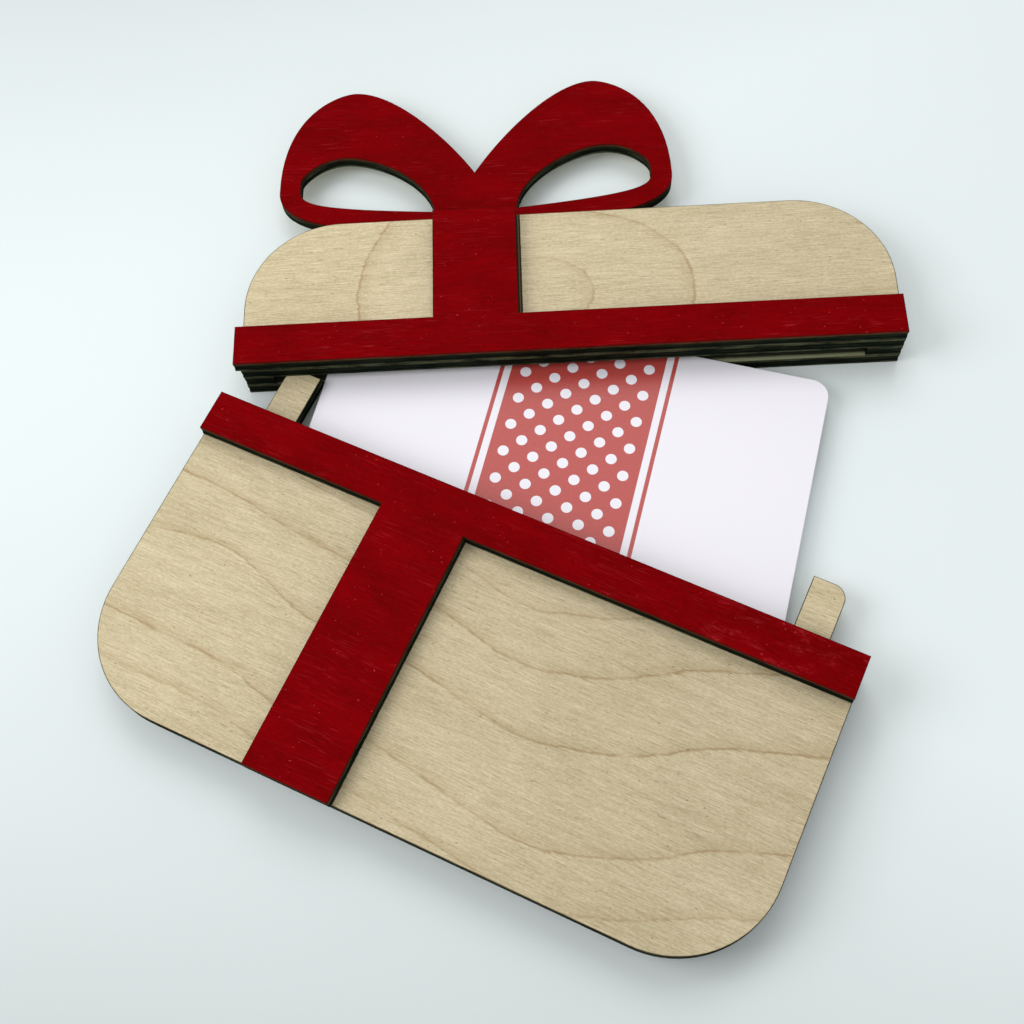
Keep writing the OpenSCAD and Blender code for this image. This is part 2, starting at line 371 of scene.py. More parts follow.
def plywood_tree():
    """Geometry Nodes tree that stacks plies on a flat outline, with a groove burnt along each glue line."""
    tree = bpy.data.node_groups.new("Plywood Sheet", "GeometryNodeTree")
    for kind, names in (
        ("Geometry", ["Geometry"]),
        ("Int", ["Plies"]),
        ("Float", ["Ply Thickness", "Edge Ease", "Groove Depth", "Core Recess", "Underside Height"]),
        ("Vector", ["Grain Direction"]),
        ("Material", ["Face Material", "Back Material", "Edge Material"]),
    ):
        for name in names:
            tree.interface.new_socket(name, in_out="INPUT", socket_type="NodeSocket" + kind)
    tree.interface.new_socket("Geometry", in_out="OUTPUT", socket_type="NodeSocketGeometry")
    hand = NodeHand(tree)
    given = hand.add("NodeGroupInput").outputs

    def named(name, kind):
        """Reads a named attribute."""
        node = hand.add("GeometryNodeInputNamedAttribute", {"Name": name}, data_type=kind)
        return node.outputs["Attribute"]

    away = named("outward", "FLOAT_VECTOR")

    def moved(geometry, chosen, distance):
        """Shifts the chosen points off the wood by a distance."""
        offset = hand.add("ShaderNodeVectorMath", {0: away, "Scale": distance}, operation="SCALE")
        inputs = {"Geometry": geometry, "Offset": offset.outputs[0]}
        if chosen is not None:
            inputs["Selection"] = chosen
        return hand.add("GeometryNodeSetPosition", inputs).outputs[0]

    def raised(geometry, chosen, height, distance):
        """Extrudes the chosen faces straight up, then shifts their rim off the wood."""
        straight_up = {"Offset": (0, 0, 1), "Offset Scale": height, "Individual": False}
        inputs = {"Mesh": geometry, "Selection": chosen, **straight_up}
        up = hand.add("GeometryNodeExtrudeMesh", inputs).outputs
        return moved(up["Mesh"], up["Top"], distance), up["Top"]

    def stored(geometry, name, kind, domain, value):
        """Keeps a value on the geometry as a named attribute."""
        inputs = {"Geometry": geometry, "Name": name, "Value": value}
        return hand.add("GeometryNodeStoreNamedAttribute", inputs, data_type=kind, domain=domain).outputs[0]

    groove = given["Groove Depth"]
    ease = given["Edge Ease"]
    outline = moved(given["Geometry"], None, hand.sum("MULTIPLY", groove, -1))
    start = stored(outline, "top", "BOOLEAN", "FACE", True)

    into = hand.add("GeometryNodeRepeatInput")
    back = hand.add("GeometryNodeRepeatOutput")
    into.pair_with_output(back)
    tree.links.new(given["Plies"], into.inputs["Iterations"])
    tree.links.new(start, into.inputs["Geometry"])
    core = hand.sum("MULTIPLY", hand.sum("MODULO", into.outputs["Iteration"], 2), given["Core Recess"])
    out = hand.sum("SUBTRACT", groove, core)
    upper = named("top", "BOOLEAN")
    wall = hand.sum("SUBTRACT", given["Ply Thickness"], hand.sum("MULTIPLY", ease, 2))
    slope, top = raised(into.outputs["Geometry"], upper, ease, out)
    straight, top = raised(slope, top, wall, 0.0)
    close, top = raised(straight, top, ease, hand.sum("MULTIPLY", out, -1))
    tree.links.new(stored(close, "top", "BOOLEAN", "FACE", top), back.inputs["Geometry"])

    under = hand.add("GeometryNodeFlipFaces", {"Mesh": outline}).outputs[0]
    join = hand.add("GeometryNodeJoinGeometry")
    tree.links.new(under, join.inputs[0])
    tree.links.new(back.outputs["Geometry"], join.inputs[0])
    welded = {"Geometry": join.outputs[0], "Distance": WELD}
    closed = hand.add("GeometryNodeMergeByDistance", welded).outputs[0]

    position = hand.add("GeometryNodeInputPosition").outputs[0]
    level = hand.add("ShaderNodeSeparateXYZ", {0: position}).outputs["Z"]
    whole = hand.sum("MULTIPLY", given["Plies"], given["Ply Thickness"])
    height = hand.sum("DIVIDE", hand.sum("SUBTRACT", level, given["Underside Height"]), whole)
    normal = hand.add("GeometryNodeInputNormal").outputs[0]
    both = {0: normal, 1: given["Grain Direction"]}
    along = hand.add("ShaderNodeVectorMath", both, operation="DOT_PRODUCT")
    closed = stored(closed, "height", "FLOAT", "POINT", height)
    closed = stored(closed, "end_grain", "FLOAT", "FACE", hand.sum("ABSOLUTE", along.outputs["Value"]))
    upward = hand.add("ShaderNodeSeparateXYZ", {0: normal}).outputs["Z"]
    faces_up = hand.sum("GREATER_THAN", upward, FACES_UP)
    faces_down = hand.sum("LESS_THAN", upward, -FACES_UP)
    result = hand.add("GeometryNodeRealizeInstances", {"Geometry": closed}).outputs[0]
    for chosen, side in ((True, "Edge"), (faces_up, "Face"), (faces_down, "Back")):
        painted = {"Geometry": result, "Selection": chosen, "Material": given[side + " Material"]}
        result = hand.add("GeometryNodeSetMaterial", painted).outputs[0]
    hand.add("NodeGroupOutput", {"Geometry": result})
    return tree


# Edges that turn by more than this stay sharp
SHARP_ANGLE = math.radians(28)


def stacked(piece, values):
    """Runs the plywood tree on a flat sheet and keeps the result as a plain mesh."""
    tree = bpy.data.node_groups.get("Plywood Sheet") or plywood_tree()
    modifier = piece.modifiers.new("Plies", "NODES")
    modifier.node_group = tree
    for socket in tree.interface.items_tree:
        if socket.in_out == "INPUT" and socket.name in values:
            modifier[socket.identifier] = values[socket.name]
    piece.update_tag()
    graph = bpy.context.evaluated_depsgraph_get()
    done = piece.evaluated_get(graph)
    mesh = bpy.data.meshes.new_from_object(done, preserve_all_data_layers=True, depsgraph=graph)
    piece.modifiers.clear()
    flat = piece.data
    piece.data = mesh
    mesh.name = flat.name + "_mesh"
    bpy.data.meshes.remove(flat)
    for spare in ("top", "outward"):
        if spare in mesh.attributes:
            mesh.attributes.remove(mesh.attributes[spare])
    mesh.shade_smooth()
    mesh.set_sharp_from_angle(angle=SHARP_ANGLE)


# -------- materials

# Strip of a sheet that lies under its upright ribbon, and the sheet's two ends, in millimetres along it
UNDER_RIBBON = (-20.0, -11.0)
SHEET_ENDS = (-50.0, 50.0)


class Recipe(NodeHand):
    """A material's nodes, with short ways to write sums, mixes and patterns in millimetres."""

    def __init__(self, name, place, roughness, specular):
        self.material = bpy.data.materials.new(name)
        self.material.use_nodes = True
        super().__init__(self.material.node_tree)
        self.tree.nodes.clear()
        look = {"Roughness": roughness, "Specular IOR Level": specular}
        self.shader = self.add("ShaderNodeBsdfPrincipled", look)
        self.add("ShaderNodeOutputMaterial", {"Surface": self.shader.outputs[0]})
        origin, angle = place
        laid = {
            "Vector": self.add("ShaderNodeTexCoord").outputs["Object"],
            "Location": origin,
            "Rotation": (0, 0, angle),
            "Scale": (MM, MM, MM),
        }
        self.at = self.add("ShaderNodeMapping", laid, vector_type="TEXTURE").outputs[0]
        axes = self.add("ShaderNodeSeparateXYZ", {0: self.at}).outputs
        self.x, self.y = axes["X"], axes["Y"]

    def times(self, a, b):
        """Product of two numbers."""
        return self.sum("MULTIPLY", a, b)

    def distance(self, right, up):
        """Straight distance to a point so far to the right and so far up."""
        squares = [self.times(way, way) for way in (right, up)]
        return self.sum("SQRT", self.sum("ADD", *squares))

    def mix(self, share, a, b):
        """Colour that goes from a to b as share goes from 0 to 1."""
        a, b = (c if isinstance(c, bpy.types.NodeSocket) else (*c, 1) for c in (a, b))
        # Inputs 6 and 7 and output 2 are the node's colours
        node = self.add("ShaderNodeMix", {0: share, 6: a, 7: b}, data_type="RGBA")
        return node.outputs[2]

    def step(self, value, low, high, start=0.0, end=1.0):
        """Smooth step from start to end as the value goes from low to high."""
        inputs = {"Value": value, "From Min": low, "From Max": high, "To Min": start, "To Max": end}
        return self.add("ShaderNodeMapRange", inputs, interpolation_type="SMOOTHSTEP").outputs[0]

    def within(self, value, middle, half, soft, peak=1.0):
        """peak where value lies within half of middle, falling to 0 across a soft border outside."""
        aside = self.sum("ABSOLUTE", self.sum("SUBTRACT", value, middle))
        return self.step(aside, half, half + soft, peak, 0.0)

    def noise(self, size, detail=2.0, roughness=0.55, shift=(0, 0, 0)):
        """Noise whose features are about size millimetres long, wide and high."""
        laid = {"Vector": self.at, "Location": shift, "Scale": [1 / s for s in size]}
        stretched = self.add("ShaderNodeMapping", laid).outputs[0]
        look = {"Vector": stretched, "Scale": 1.0, "Detail": detail, "Roughness": roughness}
        return self.add("ShaderNodeTexNoise", look).outputs["Fac"]

    def patches(self, size, low, high, start=0.0, end=1.0, **look):
        """Step from start to end as a noise goes from low to high."""
        return self.step(self.noise(size, **look), low, high, start, end)

    def spread(self, noise, strength, base):
        """base, moved up and down by noise."""
        return self.sum("MULTIPLY_ADD", self.sum("SUBTRACT", noise, 0.5), strength, base)

    def ramp(self, value, stops):
        """Level that follows the stops, each a position and the level there, with straight lines between."""
        node = self.add("ShaderNodeValToRGB", {0: value})
        elements = node.color_ramp.elements
        while len(elements) < len(stops):
            elements.new(1.0)
        for element, (position, level) in zip(elements, stops):
            element.position = position
            element.color = (level, level, level, 1)
        return node.outputs[0]

    def curve(self, value, points):
        """Level on a smooth curve through the points."""
        node = self.add("ShaderNodeFloatCurve", {"Value": value})
        line = node.mapping.curves[0]
        while len(line.points) < len(points):
            line.points.new(1.0, 1.0)
        for point, place in zip(line.points, points):
            point.location = place
        node.mapping.update()
        return node.outputs[0]

    def bump(self, height, strength, depth):
        """Relief of the surface, depth millimetres deep."""
        node = self.add("ShaderNodeBump", {"Height": height, "Strength": strength, "Distance": depth * MM})
        self.tree.links.new(node.outputs[0], self.shader.inputs["Normal"])

    def attribute(self, name):
        """Value that the mesh carries under a name."""
        return self.add("ShaderNodeAttribute", attribute_name=name).outputs["Fac"]

    def burn(self, base, ragged):
        """How burnt the surface is towards the sheet's rim, with a ragged border."""
        return self.spread(self.noise((0.9, 0.9, 0.9), detail=3.0, shift=(4, 4, 4)), ragged, base)

    def paint(self, colour, roughness=None):
        """Puts the colour and the roughness on the shader, and returns the finished material."""
        self.tree.links.new(colour, self.shader.inputs["Base Color"])
        if roughness is not None:
            self.tree.links.new(roughness, self.shader.inputs["Roughness"])
        return self.material


# Fall of the base's growth rings towards their dip and back, along the sheet
HILL = (
    (0.0, 0.40), (0.09, 0.415), (0.196, 0.39), (0.27, 0.275), (0.37, 0.215), (0.45, 0.15), (0.53, 0.05),
    (0.571, 0.0), (0.632, 0.06), (0.70, 0.2), (0.805, 0.525), (0.906, 0.75), (1.0, 0.9),
)


def hill_growth(r):
    """Height of the base's long growth rings: they dip to the right of the ribbon and rise again.

    A swelling at the left lifts them a little.
    """
    dip_x, dip_y, slant, depth = 8.0, -22.0, 0.45, 20.0
    before_dip, length = 80.0, 140.0
    lean = r.sum("MULTIPLY_ADD", r.sum("SUBTRACT", r.y, dip_y), slant, r.x)
    run = r.sum("DIVIDE", r.sum("ADD", r.sum("SUBTRACT", lean, dip_x), before_dip), length)
    level = r.sum("MULTIPLY_ADD", r.curve(run, HILL), -depth, r.y)
    # The swelling's middle is 42 mm to the left and 27 mm down, and it is wider than it is high
    aside = r.sum("MULTIPLY_ADD", r.x, 0.62, 26.0)
    below = r.sum("ADD", r.y, 27.0)
    swelling_size, swelling_height = 11.0, 3.0
    swelling = r.step(r.distance(aside, below), 0.0, swelling_size, swelling_height, 0.0)
    return r.sum("SUBTRACT", level, swelling)


def oval_growth(r):
    """Height of the lid's growth rings, which are ovals: 0 at their heart, and lower with each ring."""
    heart_x, heart_y, half_width, depth = -6.0, 13.0, 30.3, 24.0
    half_height = r.step(r.x, *UNDER_RIBBON, 27.0, 19.2)
    right = r.sum("DIVIDE", r.sum("SUBTRACT", r.x, heart_x), half_width)
    up = r.sum("DIVIDE", r.sum("SUBTRACT", r.y, heart_y), half_height)
    return r.times(r.distance(right, up), -depth)


def straight_growth(r):
    """Nearly straight growth rings, for the sheets that hardly show."""
    wave = 14.0
    return r.sum("MULTIPLY_ADD", r.noise((60, 30, 30), detail=1.0), wave, r.y)


# Growth heights, in millimetres, where a brown line runs left and right of the ribbon, and how strong it is
HILL_LINES = (
    (-12.9, -12.9, 0.75), (-22.5, -22.0, 1.0), (-34.0, -32.8, 1.0),
    (-49.0, -47.0, 0.95), (-56.2, -55.2, 0.65),
)
OVAL_LINES = ((-7.6, -8.7, 0.75), (-24.2, -22.6, 1.0), (-42.0, -40.0, 0.2))
BASE_LINES = ((-30.0, -30.0, 0.6), (-8.0, -8.0, 0.5), (4.0, 4.0, 0.5))
LID_LINES = ((6.0, 6.0, 0.6), (19.0, 19.0, 0.6), (44.0, 44.0, 0.5))
POCKET_LINES = ((10.0, 10.0, 0.6), (24.0, 24.0, 0.5), (44.0, 44.0, 0.5))


def growth_lines(r, level, lines):
    """How dark the brown lines are: each has a sharp core and a halo that fades upwards."""
    core, halo_height, halo_share, soft = 0.36, 2.2, 0.34, 0.1
    dark = 0.0
    for left, right, weight in lines:
        gap = r.sum("SUBTRACT", level, r.step(r.x, *UNDER_RIBBON, left, right))
        sharp = r.step(r.sum("ABSOLUTE", gap), 0.0, core, weight, 0.0)
        above = r.step(gap, 0.0, halo_height, halo_share * weight, 0.0)
        halo = r.times(above, r.step(gap, -soft, soft))
        dark = r.sum("MAXIMUM", dark, r.sum("MAXIMUM", sharp, halo))
    return r.times(dark, r.patches((7, 3, 9), 0.35, 0.6, 0.5, 1.0, shift=(5, 1, 4)))


def guide_line(r, guide):
    """Where a burnt line runs from under the ribbon's right edge as far as guide, and the tan strip in it,
    which is painted shade on the bare wood beside the ribbon.
    """
    soft, painted_shade_inside = 0.1, 0.45
    wavering = r.spread(r.noise((5, 0.8, 5), shift=(6, 6, 1)), 0.16, r.x)
    reach = r.sum("SUBTRACT", guide, wavering)
    line = r.times(r.step(reach, 0.0, soft), r.step(r.x, -9.0, -8.8))
    return line, r.within(reach, painted_shade_inside, 0.04, 0.12, peak=0.85)


def pocket_shade(r, tone, colours):
    """The veneer's colour in the pocket with painted shade: dark just inside the mouth and paler further in.
    """
    depth = r.spread(r.noise((6, 2, 6), detail=3.0, shift=(1, 7, 3)), 0.4, r.y)
    clean = r.step(r.x, -46.0, -34.0, 0.0, 0.62)
    deep_shade = r.step(r.sum("SUBTRACT", depth, clean), -0.15, 0.45)
    # Painted shade: a green-grey tint up to 2 to 5 mm in, and a dark band from just inside the mouth that
    # fades out by 8 mm
    tone = r.mix(r.step(depth, 2.0, 5.0, 0.6, 0.0), tone, colours.pocket_shade)
    return r.mix(r.times(deep_shade, r.step(depth, 3.0, 8.0, 0.9, 0.0)), tone, colours.char)


def birch(name, place, colours, lines, growth=straight_growth, painted_light_ends=(1.0, 1.0), guide=None, paint_pocket_shade=False):
    """Bare birch veneer.

    growth gives the height of the growth rings and lines tells which of them are brown. The end levels are
    painted light, brightening or darkening the veneer towards the sheet's left and right end. guide is how
    far a line that was burnt for the maker reaches along the sheet, with a strip of painted shade in it. The
    pocket flag paints shade inside the pocket.
    """
    r = Recipe(name, place, roughness=0.62, specular=0.12)
    mottle = r.noise((0.62, 0.24, 1.0), detail=1.0, roughness=0.5)
    fibre = r.noise((4.2, 0.18, 2.0), detail=3.0, roughness=0.6, shift=(2, 4, 1))
    band = r.noise((18, 1.3, 9), roughness=0.6, shift=(8, 3, 5))
    cloud = r.noise((24, 8, 20), shift=(3, 8, 2))
    jag = r.noise((2.6, 0.5, 2.0), detail=3.0, roughness=0.6, shift=(1, 5, 0))
    level = r.spread(cloud, 2.2, r.spread(jag, 0.95, growth(r)))
    dark = growth_lines(r, level, lines)
    grain = 0.5
    for part, strength in ((mottle, 0.8), (fibre, 1.55), (band, 0.5), (cloud, 0.5)):
        grain = r.spread(part, strength, grain)
    tone = r.mix(grain, colours.birch_deep, colours.birch_pale)
    tone = r.mix(0.1, tone, colours.birch)
    tone = r.mix(r.times(dark, 0.68), tone, colours.growth_line)
    # Painted light: the veneer is brightened or darkened along the sheet from its left end to its right
    painted_light_level = r.step(r.x, *SHEET_ENDS, *painted_light_ends)
    tone = r.add("ShaderNodeVectorMath", {0: tone, "Scale": painted_light_level}, operation="SCALE").outputs[0]
    streaks = r.patches((2.8, 0.15, 1.0), 0.66, 0.80, 0.0, 0.5, detail=1.0, roughness=0.4, shift=(9, 6, 2))
    pores = r.patches((0.7, 0.24, 1.0), 0.78, 0.86, 0.0, 0.75, detail=0.0, shift=(11, 2, 6))
    marks = r.sum("MAXIMUM", streaks, pores)
    tone = r.mix(marks, tone, colours.pore)
    burnt = r.burn(r.attribute("rim"), 0.4)
    if guide is not None:
        # Burnt guide line, with a tan strip of painted shade in it
        line, painted_shade_strip = guide_line(r, guide)
        tone = r.mix(r.times(line, 0.97), tone, r.mix(painted_shade_strip, colours.char, colours.rim))
        burnt = r.sum("MAXIMUM", burnt, r.times(line, 0.2))
    tone = r.mix(r.step(burnt, 0.15, 0.75, 0.0, 0.4), tone, colours.rim)
    tone = r.mix(r.step(burnt, 0.5, 0.9, 0.0, 0.95), tone, colours.char)
    # Painted shade inside the lid's pocket
    if paint_pocket_shade:
        tone = pocket_shade(r, tone, colours)
    relief = r.sum("SUBTRACT", r.sum("ADD", fibre, mottle), r.sum("ADD", marks, burnt))
    r.bump(relief, 0.25, 0.04)
    return r.paint(tone, r.step(fibre, 0.2, 0.8, 0.56, 0.68))


# Width, in millimetres, over which the wear of a stained sheet sets in
WEAR_FADE = 12.0


def stained(name, place, colours, worn_from):
    """Red stained veneer, with streaks and scratches along the grain.

    Rubbed patches start at worn_from millimetres along the sheet.
    """
    r = Recipe(name, place, roughness=0.6, specular=0.012)
    mottle = r.noise((0.7, 0.24, 1.0), detail=1.0, roughness=0.5)
    fibre = r.noise((4.5, 0.22, 2.0), detail=3.0, roughness=0.6, shift=(2, 4, 1))
    cloud = r.noise((12, 5, 12), detail=3.0, shift=(6, 2, 5))
    grain = 0.42
    for part, strength in ((mottle, 0.9), (fibre, 0.95), (cloud, 1.3)):
        grain = r.spread(part, strength, grain)
    tone = r.mix(grain, colours.stain_deep, colours.stain_bright)
    tone = r.mix(0.15, tone, colours.stain)
    where = r.patches((12, 5, 6), 0.42, 0.66, 0.14, 1.0, shift=(9, 4, 1))
    scratch = r.patches((3.6, 0.16, 2.0), 0.60, 0.84, 0.0, 0.36, detail=1.0, roughness=0.3, shift=(3, 1, 8))
    scratch = r.times(scratch, where)
    streak = r.patches((9.0, 0.2, 3.0), 0.60, 0.82, 0.0, 0.26, roughness=0.5, shift=(12, 3, 4))
    streak = r.times(streak, r.sum("MULTIPLY_ADD", where, 0.65, 0.25))
    tone = r.mix(r.sum("MAXIMUM", scratch, streak), tone, colours.scuff)
    rub = r.patches((5.0, 2.2, 4.0), 0.5, 0.66, shift=(7, 2, 9))
    rub = r.times(rub, r.step(r.x, worn_from, worn_from + WEAR_FADE))
    grit = r.patches((0.9, 0.22, 1.0), 0.42, 0.68, 0.0, 0.26, roughness=0.7, shift=(4, 8, 6))
    tone = r.mix(r.times(grit, rub), tone, colours.scuff)
    speck = r.patches((0.45, 0.35, 1.0), 0.83, 0.88, 0.0, 0.6, detail=0.0, shift=(13, 7, 2))
    tone = r.mix(speck, tone, colours.scuff)
    burnt = r.burn(r.attribute("rim"), 0.5)
    tone = r.mix(r.step(burnt, 0.55, 0.95, 0.0, 0.9), tone, colours.char)
    r.bump(r.sum("ADD", fibre, scratch), 0.2, 0.04)
    return r.paint(tone, r.step(fibre, 0.2, 0.8, 0.52, 0.66))


def laser_edge(name, place, colours, stained_rim):
    """Burnt cut edge: black, with toasted lines beside the glue lines, or in the core where it is end grain.

    The upper rim is a brown line, and on a stained sheet the stain has run down over it.
    """
    r = Recipe(name, place, roughness=0.8, specular=0.03)
    height = r.spread(r.noise((3.5, 3.5, 1.2), detail=3.0), 0.10, r.attribute("height"))
    # How light the cut is at each height: where the outer plies show end grain, and where the core does
    outer = [(0.0, 0.2), (0.03, 0.8), (0.13, 0.75), (0.22, 0.12), (0.30, 0.0), (0.36, 0.08), (0.62, 0.12),
             (0.68, 0.0), (0.78, 0.12), (0.86, 0.75), (0.95, 0.6), (1.0, 0.3)]
    core = [(0.0, 0.0), (0.05, 0.10), (0.28, 0.08), (0.31, 0.0), (0.38, 0.62), (0.60, 0.50), (0.68, 0.0),
            (0.72, 0.12), (0.90, 0.10), (0.94, 0.1), (0.965, 0.2), (1.0, 0.2)]
    end = r.attribute("end_grain")
    light = r.mix(r.step(end, 0.25, 0.75), r.ramp(height, outer), r.ramp(height, core))
    light = r.add("ShaderNodeSeparateColor", {0: light}).outputs[0]
    soot = r.patches((7.0, 7.0, 1.3), 0.36, 0.64, 0.06, 1.0, detail=4.0, roughness=0.65, shift=(2, 6, 1))
    kerf = r.noise((0.12, 0.12, 3.0), shift=(8, 1, 3))
    light = r.times(r.times(light, soot), r.step(kerf, 0.25, 0.7, 0.65, 1.0))
    tone = r.mix(light, colours.char, colours.toasted)
    worn = r.patches((3.0, 3.0, 1.0), 0.35, 0.62, 0.1, 0.8, detail=3.0, shift=(5, 9, 3))
    if stained_rim:
        worn = r.sum("MULTIPLY_ADD", worn, 0.8, 0.2)
        tone = r.mix(r.times(r.step(height, 0.55, 0.85, 0.0, 0.5), worn), tone, colours.rim)
        tone = r.mix(r.step(height, 0.74, 0.98, 0.0, 0.9), tone, colours.stain_deep)
    else:
        worn = r.times(worn, r.step(end, 0.2, 0.7, 1.0, 0.15))
        tone = r.mix(r.times(r.step(height, 0.94, 0.975, 0.0, 0.7), worn), tone, colours.rim)
    r.bump(r.sum("ADD", kerf, r.noise((1.2, 1.2, 0.12), detail=3.0)), 0.5, 0.06)
    return r.paint(tone)


def dimmed(colour, share):
    """The colour with its light cut down to a share."""
    return [share * part for part in colour]


def plastic(r, colours):
    """Fine grain, and the white plastic that it shades."""
    grain = r.noise((0.35, 0.35, 0.35))
    return grain, r.mix(r.step(grain, 0.3, 0.7, 0.0, 0.10), colours.card, dimmed(colours.card, 0.93))


def printed_card(name, place, colours):
    """White plastic with a muted red upright band of white dots and a fine line on each side of it."""
    r = Recipe(name, place, roughness=0.32, specular=0.45)
    card = bpy.context.scene.card_holder.card
    band_middle, margin, line_half, soft = 1.5, 1.6, 0.32, 0.08
    half = card.band_width / MM / 2
    spacing, radius = card.dot_spacing / MM, card.dot_radius / MM
    row_height = spacing / 2
    middle = r.sum("SUBTRACT", r.x, band_middle)
    aside = r.sum("ABSOLUTE", middle)
    band = r.step(aside, half - soft / 2, half + soft / 2, 1.0, 0.0)
    line = r.within(aside, half + margin, line_half, soft)
    row = r.sum("FLOOR", r.sum("DIVIDE", r.y, row_height))
    shift = r.times(r.sum("MODULO", r.sum("ABSOLUTE", row), 2.0), spacing / 2)
    across = r.sum("PINGPONG", r.sum("ADD", middle, shift), spacing / 2)
    upward = r.sum("SUBTRACT", r.sum("FLOORED_MODULO", r.y, row_height), row_height / 2)
    dots = r.step(r.distance(across, upward), radius - 0.05, radius + 0.05, 1.0, 0.0)
    inner = r.step(aside, half - margin, half - margin + 0.1, 1.0, 0.0)
    printed = r.times(band, r.sum("SUBTRACT", 1.0, r.times(dots, inner)))
    ink = r.sum("MAXIMUM", printed, line)
    grain, body = plastic(r, colours)
    red = r.mix(r.step(grain, 0.3, 0.7), colours.card_print, dimmed(colours.card_print, 0.90))
    scratch = r.patches((9.0, 0.12, 1.0), 0.72, 0.84, 0.0, 0.10, detail=1.0, shift=(5, 5, 2))
    tone = r.mix(scratch, r.mix(ink, body, red), colours.card)
    r.bump(grain, 0.08, 0.02)
    return r.paint(tone, r.step(grain, 0.2, 0.8, 0.30, 0.38))


def card_back(name, place, colours):
    """Back of the card: white plastic with a dark magnetic stripe and a grey scratch-off field."""
    r = Recipe(name, place, roughness=0.35, specular=0.45)
    soft = 0.1
    stripe_black, grey, grey_light = (0.022, 0.020, 0.019), (0.42, 0.42, 0.44), (0.52, 0.52, 0.54)
    body = plastic(r, colours)[1]
    tone = r.mix(r.within(r.y, 0.3, 6.2, soft), body, stripe_black)
    field = r.times(r.within(r.x, -14.0, 17.0, soft), r.within(r.y, -20.0, 4.0, soft))
    hatch = r.step(r.sum("PINGPONG", r.sum("ADD", r.x, r.y), 0.5), 0.2, 0.3)
    tone = r.mix(field, tone, r.mix(hatch, grey, grey_light))
    return r.paint(tone)


def card_edge(name, place, colours):
    """White core of the card between its two thin overlays."""
    r = Recipe(name, place, roughness=0.5, specular=0.4)
    grain = r.noise((0.5, 0.5, 0.15), detail=3.0)
    core = r.mix(r.step(grain, 0.3, 0.7, 0.0, 0.3), colours.card, dimmed(colours.card, 0.80))
    overlay = r.step(r.sum("ABSOLUTE", r.sum("SUBTRACT", r.attribute("height"), 0.5)), 0.34, 0.40, 0.0, 0.35)
    return r.paint(r.mix(overlay, core, dimmed(colours.card, 0.62)))


# Middle of the photograph on the table, and the angle that the photograph is turned by
PHOTO_MIDDLE = (Vector((-0.0052, 0.0307, 0)), math.radians(24.9))


def table(name, place, colours):
    """Pale table with painted light falloff: brightest to the upper right of the view's middle, and even far
    outside it.
    """
    r = Recipe(name, place, roughness=0.7, specular=0.1)
    # Change of the painted light for each millimetre to the right and up, and for each square millimetre up
    # or down
    to_right, up, up_squared = 0.00109, 0.0011, -1.73e-5
    dimmest, brightest, far_out = 0.72, 1.04, 0.95
    painted_falloff = r.sum("MULTIPLY_ADD", r.x, to_right, 1.0)
    painted_falloff = r.sum("MULTIPLY_ADD", r.y, up, painted_falloff)
    painted_falloff = r.sum("MULTIPLY_ADD", r.times(r.y, r.y), up_squared, painted_falloff)
    painted_falloff = r.sum("MAXIMUM", r.sum("MINIMUM", painted_falloff, brightest), dimmest)
    near = r.step(r.distance(r.x, r.y), 120.0, 300.0, 1.0, 0.0)
    painted_falloff = r.sum("MULTIPLY_ADD", r.sum("SUBTRACT", painted_falloff, far_out), near, far_out)
    painted_falloff = r.times(painted_falloff, r.patches((60, 60, 60), 0.3, 0.7, 0.99, 1.0))
    return r.paint(r.mix(painted_falloff, (0.0, 0.0, 0.0), colours.floor))


# For each material: the function that makes it, the place that it is laid out from, and what sets it apart
MATERIALS = {
    # The end levels of the birch materials are painted light, brighter or darker along the sheet
    "birch_base_front": (
        birch, BASE_PLACE, {"growth": hill_growth, "lines": HILL_LINES, "painted_light_ends": (1.03, 0.95), "guide": -7.97}
    ),
    "birch_lid_front": (
        birch, LID_PLACE, {"growth": oval_growth, "lines": OVAL_LINES, "painted_light_ends": (1.12, 1.05), "guide": -7.42}
    ),
    "birch_base": (birch, BASE_PLACE, {"lines": BASE_LINES, "painted_light_ends": (1.0, 1.12)}),
    "birch_lid": (birch, LID_PLACE, {"lines": LID_LINES}),
    # The lid's pocket veneer, with painted shade inside the pocket
    "birch_lid_pocket": (birch, LID_PLACE, {"lines": POCKET_LINES, "paint_pocket_shade": True}),
    "red_base": (stained, BASE_PLACE, {"worn_from": 24.0}),
    "red_lid": (stained, LID_PLACE, {"worn_from": 60.0}),
    "birch_edge_base": (laser_edge, BASE_PLACE, {"stained_rim": False}),
    "birch_edge_lid": (laser_edge, LID_PLACE, {"stained_rim": False}),
    "red_edge_base": (laser_edge, BASE_PLACE, {"stained_rim": True}),
    "red_edge_lid": (laser_edge, LID_PLACE, {"stained_rim": True}),
    "card_front": (printed_card, CARD_PLACE, {}),
    "card_back": (card_back, CARD_PLACE, {}),
    "card_edge": (card_edge, CARD_PLACE, {}),
    "pale_table": (table, PHOTO_MIDDLE, {}),
}


def material(name):
    """A material of the scene, made the first time that it is asked for."""
    found = bpy.data.materials.get(name)
    if found:
        return found
    maker, place, marks = MATERIALS[name]
    return maker(name, place, bpy.context.scene.card_holder.colours, **marks)


# -------- pieces

# Depths of the rings inside a sheet's cut, as shares of the scorch width, and how singed the wood is there
SINGE = ((0.0, 1.0), (0.4, 0.6), (1.0, 0.0))
# Rings inside the card's cut, spacing of its points, and how far its eased edge goes in for its height
CARD_RINGS = ((0.0, 1.0), (0.6 * MM, 0.0))
CARD_FIELD_STEP = 4 * MM
CARD_EASE_SLOPE = 0.8


